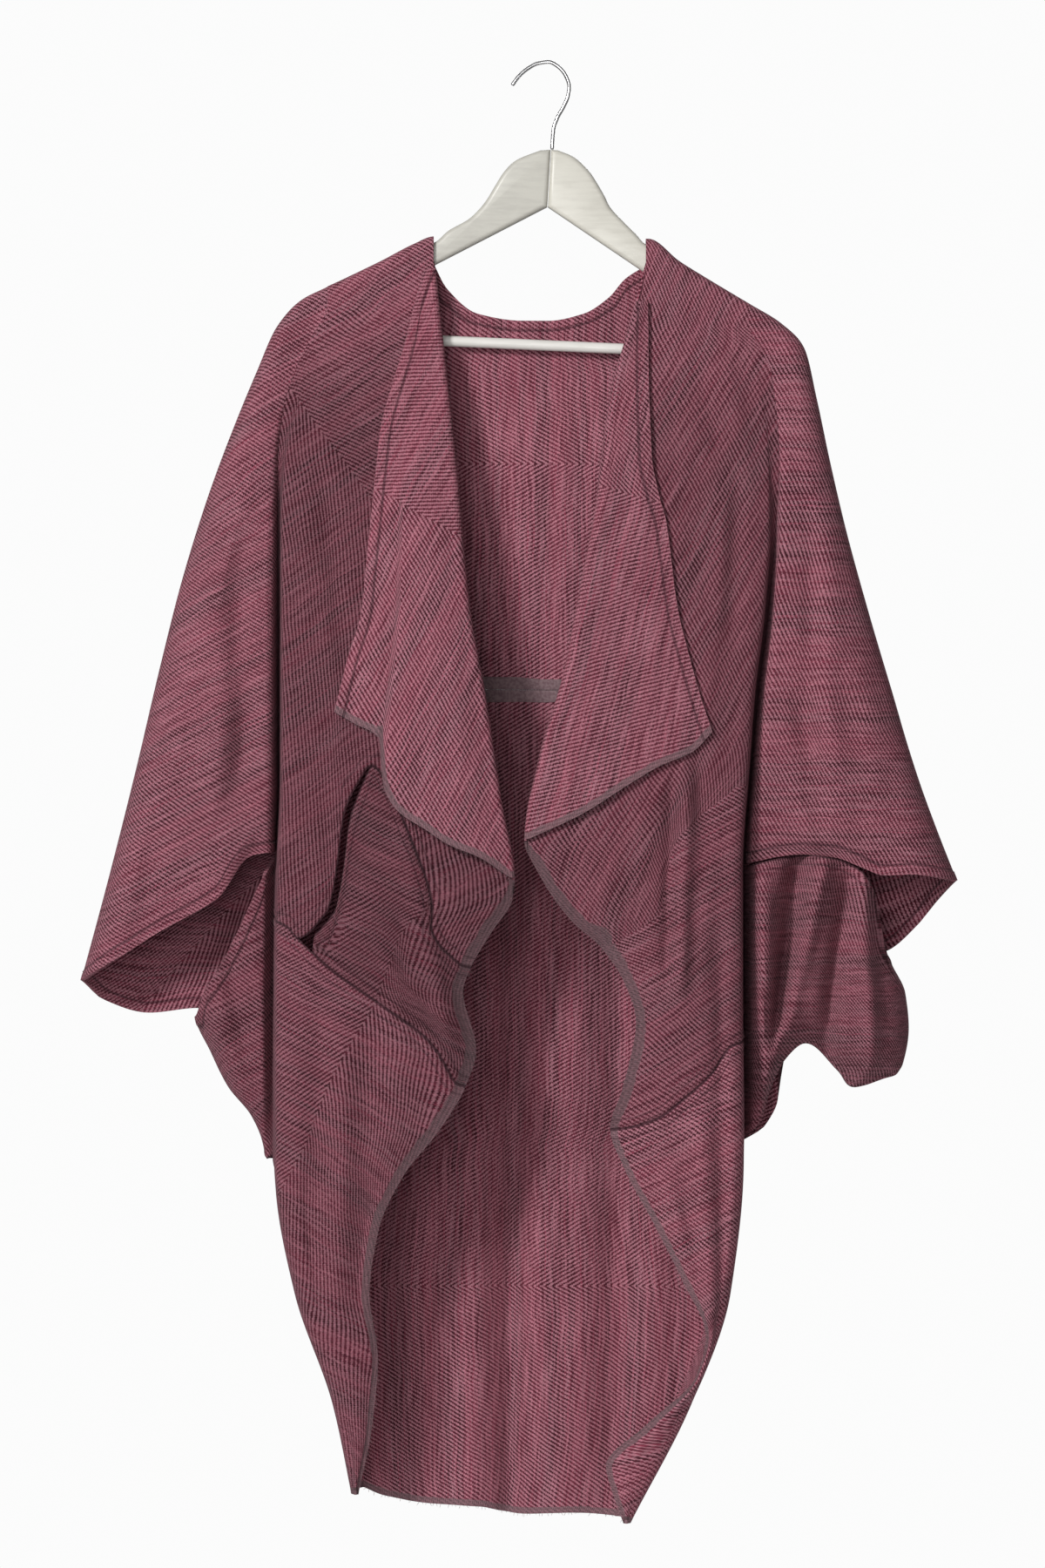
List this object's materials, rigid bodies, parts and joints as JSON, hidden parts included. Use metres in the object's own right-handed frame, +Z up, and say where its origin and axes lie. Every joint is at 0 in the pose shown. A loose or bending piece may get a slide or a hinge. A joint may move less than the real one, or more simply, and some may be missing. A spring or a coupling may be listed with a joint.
{
  "type": "kimono coat on a wooden hanger",
  "caption": "Wide-cut open-front coat of herringbone cloth with draped lapels and kimono sleeves, hung on a wooden hanger with a wire hook.",
  "frame": {"origin": "the seat of the hanger's hook, where its inside rests on the rail or nail that holds it", "axes": "+Z up, -Y out of the coat's open front, +X towards the right side as seen from the front"},
  "size_m": [0.7548, 0.1425, 1.257],
  "materials": {
    "cloth": "coarse handwoven herringbone twill of burgundy and rose slub yarn on a grey-mauve warp, soft and matte",
    "painted_wood": "off-white satin paint",
    "white_rail": "white satin paint",
    "wire": "bright chrome plating"
  },
  "bodies": {
    "root": {"back_upper": "cloth", "back_lower": "cloth", "front_left_upper": "cloth", "front_left_middle": "cloth", "front_left_lower": "cloth", "front_right_upper": "cloth", "front_right_middle": "cloth", "front_right_lower": "cloth", "lapel_left": "cloth", "lapel_right": "cloth", "sleeve_left": "cloth", "sleeve_right": "cloth", "side_left": "cloth", "side_right": "cloth", "hanger_arm_left": "painted_wood", "hanger_arm_right": "painted_wood", "hanger_rail": "white_rail", "hanger_hook": "wire"}
  },
  "joints": []
}
